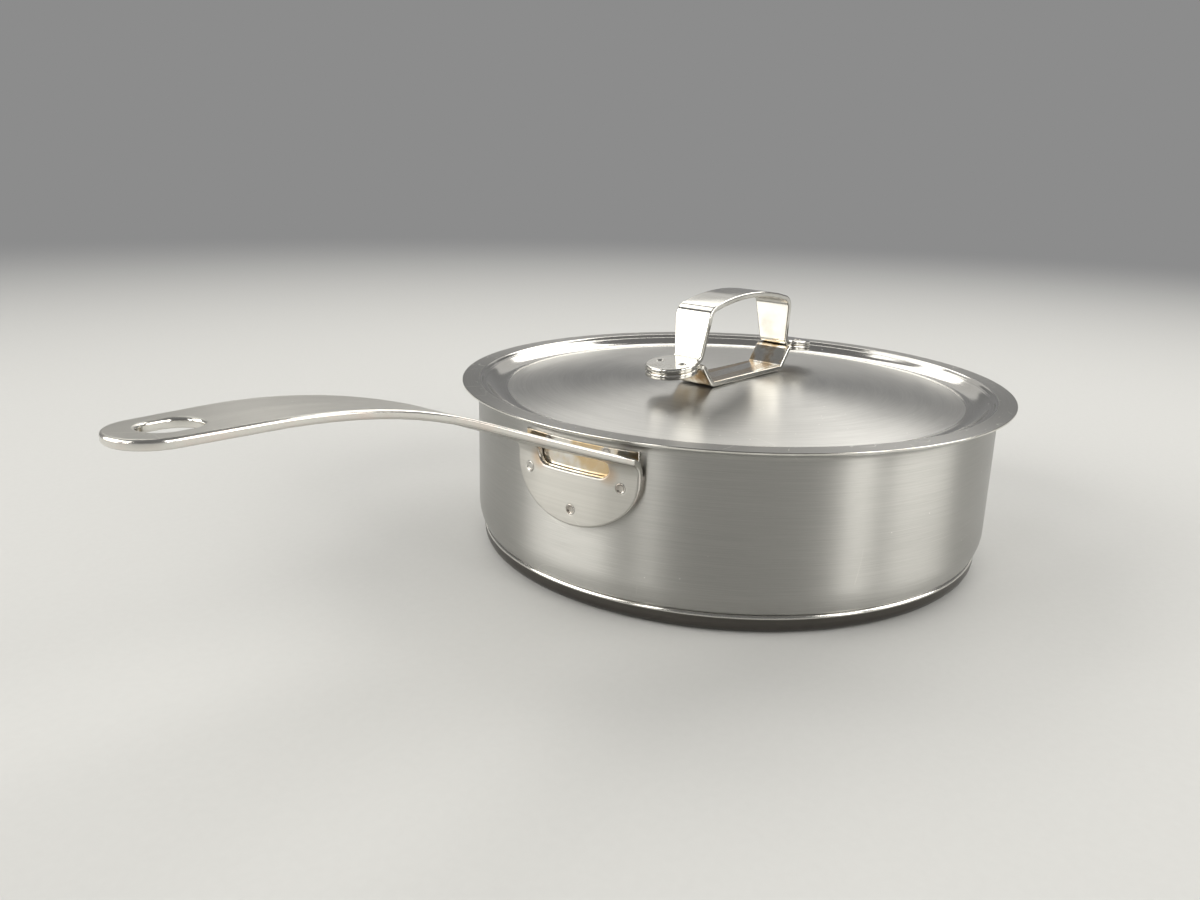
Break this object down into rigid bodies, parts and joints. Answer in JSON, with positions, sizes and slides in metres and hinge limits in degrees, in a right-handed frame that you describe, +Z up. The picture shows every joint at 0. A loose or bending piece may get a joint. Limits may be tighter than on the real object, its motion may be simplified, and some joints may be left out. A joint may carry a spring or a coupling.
{
  "type": "saute pan with lid",
  "caption": "Straight-sided steel saute pan with encapsulated base, long strap handle with hanging hole, and a low-domed lid with a bent strip grip.",
  "frame": {"origin": "centre of the flat underside of the base, on the pan's axis, where the pan stands on the surface", "axes": "+Z up along the pan's axis, -X along the long handle, so the handle's end has the lowest X"},
  "size_m": [0.433, 0.257, 0.1191],
  "materials": {
    "pan_steel": "satin, brushed round the wall",
    "base_steel": "satin with a polished shoulder",
    "core_aluminium": "plain",
    "handle_steel": "satin, brushed lengthwise, with polished edges",
    "lid_steel": "satin, brushed in rings",
    "grip_steel": "polished",
    "weld_steel": "bright pressed dimple"
  },
  "bodies": {
    "pan": {"pan_body": "pan_steel", "base_core": "core_aluminium", "base_cap": "base_steel", "handle": "handle_steel", "handle_backing_plate": "handle_steel", "shield_spot_welds": "weld_steel", "backing_plate_spot_welds": "weld_steel"},
    "lid": {"lid_shell": "lid_steel", "lid_saddle": "grip_steel", "lid_grip": "grip_steel", "lid_tab_spot_welds": "weld_steel", "saddle_spot_welds": "weld_steel"}
  },
  "joints": [
    {"name": "lid_lift", "type": "slide", "parent": "pan", "child": "lid", "axis": [0, 0, 1], "range_m": [0, 0.06]}
  ]
}
